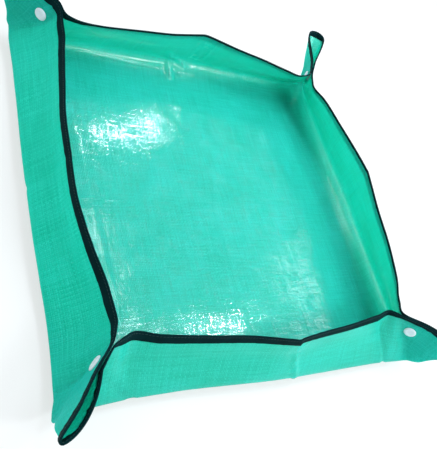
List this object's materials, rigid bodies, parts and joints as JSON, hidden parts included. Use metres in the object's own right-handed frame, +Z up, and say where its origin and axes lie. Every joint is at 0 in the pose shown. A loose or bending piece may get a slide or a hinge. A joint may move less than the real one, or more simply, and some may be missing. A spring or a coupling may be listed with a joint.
{
  "type": "repotting mat",
  "caption": "Square folding tray mat with low walls, bound edges and pinched, flared corners held by press snaps.",
  "frame": {"origin": "middle of the underside of the flat floor", "axes": "+Z up, out of the tray's mouth; X and Y along the floor's sides, +Y away from the front wall"},
  "size_m": [0.5366, 0.5561, 0.0894],
  "materials": {
    "sheet": "woven sheet under a glossy film",
    "binding": "matt woven tape",
    "snap": "moulded, satin"
  },
  "bodies": {
    "floor": {"floor_panel": "sheet"},
    "wall_front": {"wall_front": "sheet", "binding_front": "binding"},
    "wall_right": {"wall_right": "sheet", "binding_right": "binding"},
    "wall_back": {"wall_back": "sheet", "binding_back": "binding"},
    "wall_left": {"wall_left": "sheet", "binding_left": "binding"},
    "ear_fl_front": {"ear_fl_front": "sheet", "binding_fl_front": "binding", "snap_cap_fl_front": "snap", "snap_stud_fl": "snap"},
    "ear_fl_left": {"ear_fl_left": "sheet", "binding_fl_left": "binding", "snap_cap_fl_left": "snap", "snap_socket_fl": "snap"},
    "ear_fr_right": {"ear_fr_right": "sheet", "binding_fr_right": "binding", "snap_cap_fr_right": "snap", "snap_stud_fr": "snap"},
    "ear_fr_front": {"ear_fr_front": "sheet", "binding_fr_front": "binding", "snap_cap_fr_front": "snap", "snap_socket_fr": "snap"},
    "ear_br_back": {"ear_br_back": "sheet", "binding_br_back": "binding", "snap_cap_br_back": "snap", "snap_stud_br": "snap"},
    "ear_br_right": {"ear_br_right": "sheet", "binding_br_right": "binding", "snap_cap_br_right": "snap", "snap_socket_br": "snap"},
    "ear_bl_left": {"ear_bl_left": "sheet", "binding_bl_left": "binding", "snap_cap_bl_left": "snap", "snap_stud_bl": "snap"},
    "ear_bl_back": {"ear_bl_back": "sheet", "binding_bl_back": "binding", "snap_cap_bl_back": "snap", "snap_socket_bl": "snap"}
  },
  "joints": [
    {"name": "front_fold", "type": "hinge", "parent": "floor", "child": "wall_front", "pos_m": [0, -0.226, 0.0006], "axis": [1, 0, 0], "range_deg": [0, 90]},
    {"name": "right_fold", "type": "hinge", "parent": "floor", "child": "wall_right", "pos_m": [0.226, 0, 0.0006], "axis": [0, 1, 0], "range_deg": [0, 90]},
    {"name": "back_fold", "type": "hinge", "parent": "floor", "child": "wall_back", "pos_m": [0, 0.226, 0.0006], "axis": [-1, 0, 0], "range_deg": [0, 90]},
    {"name": "left_fold", "type": "hinge", "parent": "floor", "child": "wall_left", "pos_m": [-0.226, 0, 0.0006], "axis": [0, -1, 0], "range_deg": [0, 90]},
    {"name": "fl_front_fold", "type": "hinge", "parent": "wall_front", "child": "ear_fl_front", "pos_m": [-0.22337, -0.226, 0.0006], "axis": [-0.3714, -0.3714, -0.851], "range_deg": [0, 55.9]},
    {"name": "fl_left_fold", "type": "hinge", "parent": "wall_left", "child": "ear_fl_left", "pos_m": [-0.226, -0.22337, 0.0006], "axis": [0.3714, 0.3714, 0.851], "range_deg": [0, 42.9]},
    {"name": "fr_right_fold", "type": "hinge", "parent": "wall_right", "child": "ear_fr_right", "pos_m": [0.226, -0.22338, 0.0006], "axis": [0.3714, -0.3714, -0.851], "range_deg": [0, 39.52]},
    {"name": "fr_front_fold", "type": "hinge", "parent": "wall_front", "child": "ear_fr_front", "pos_m": [0.22338, -0.226, 0.0006], "axis": [-0.3714, 0.3714, 0.851], "range_deg": [0, 39.52]},
    {"name": "br_back_fold", "type": "hinge", "parent": "wall_back", "child": "ear_br_back", "pos_m": [0.22323, 0.226, 0.0006], "axis": [0.3714, 0.3714, -0.851], "range_deg": [0, 58.05]},
    {"name": "br_right_fold", "type": "hinge", "parent": "wall_right", "child": "ear_br_right", "pos_m": [0.226, 0.22323, 0.0006], "axis": [-0.3714, -0.3714, 0.851], "range_deg": [0, 20.05]},
    {"name": "bl_left_fold", "type": "hinge", "parent": "wall_left", "child": "ear_bl_left", "pos_m": [-0.226, 0.22338, 0.0006], "axis": [-0.3714, 0.3714, -0.851], "range_deg": [0, 39.52]},
    {"name": "bl_back_fold", "type": "hinge", "parent": "wall_back", "child": "ear_bl_back", "pos_m": [-0.22338, 0.226, 0.0006], "axis": [0.3714, -0.3714, 0.851], "range_deg": [0, 39.52]}
  ],
  "couplings": [
    {"joint": "right_fold", "follows": "front_fold", "ratio": 1},
    {"joint": "back_fold", "follows": "front_fold", "ratio": 1},
    {"joint": "left_fold", "follows": "front_fold", "ratio": 1},
    {"joint": "fl_front_fold", "follows": "front_fold", "ratio": 0.621},
    {"joint": "fl_left_fold", "follows": "front_fold", "ratio": 0.47656},
    {"joint": "fr_right_fold", "follows": "front_fold", "ratio": 0.439},
    {"joint": "fr_front_fold", "follows": "front_fold", "ratio": 0.439},
    {"joint": "br_back_fold", "follows": "front_fold", "ratio": 0.64489},
    {"joint": "br_right_fold", "follows": "front_fold", "ratio": 0.22267},
    {"joint": "bl_left_fold", "follows": "front_fold", "ratio": 0.439},
    {"joint": "bl_back_fold", "follows": "front_fold", "ratio": 0.439}
  ]
}
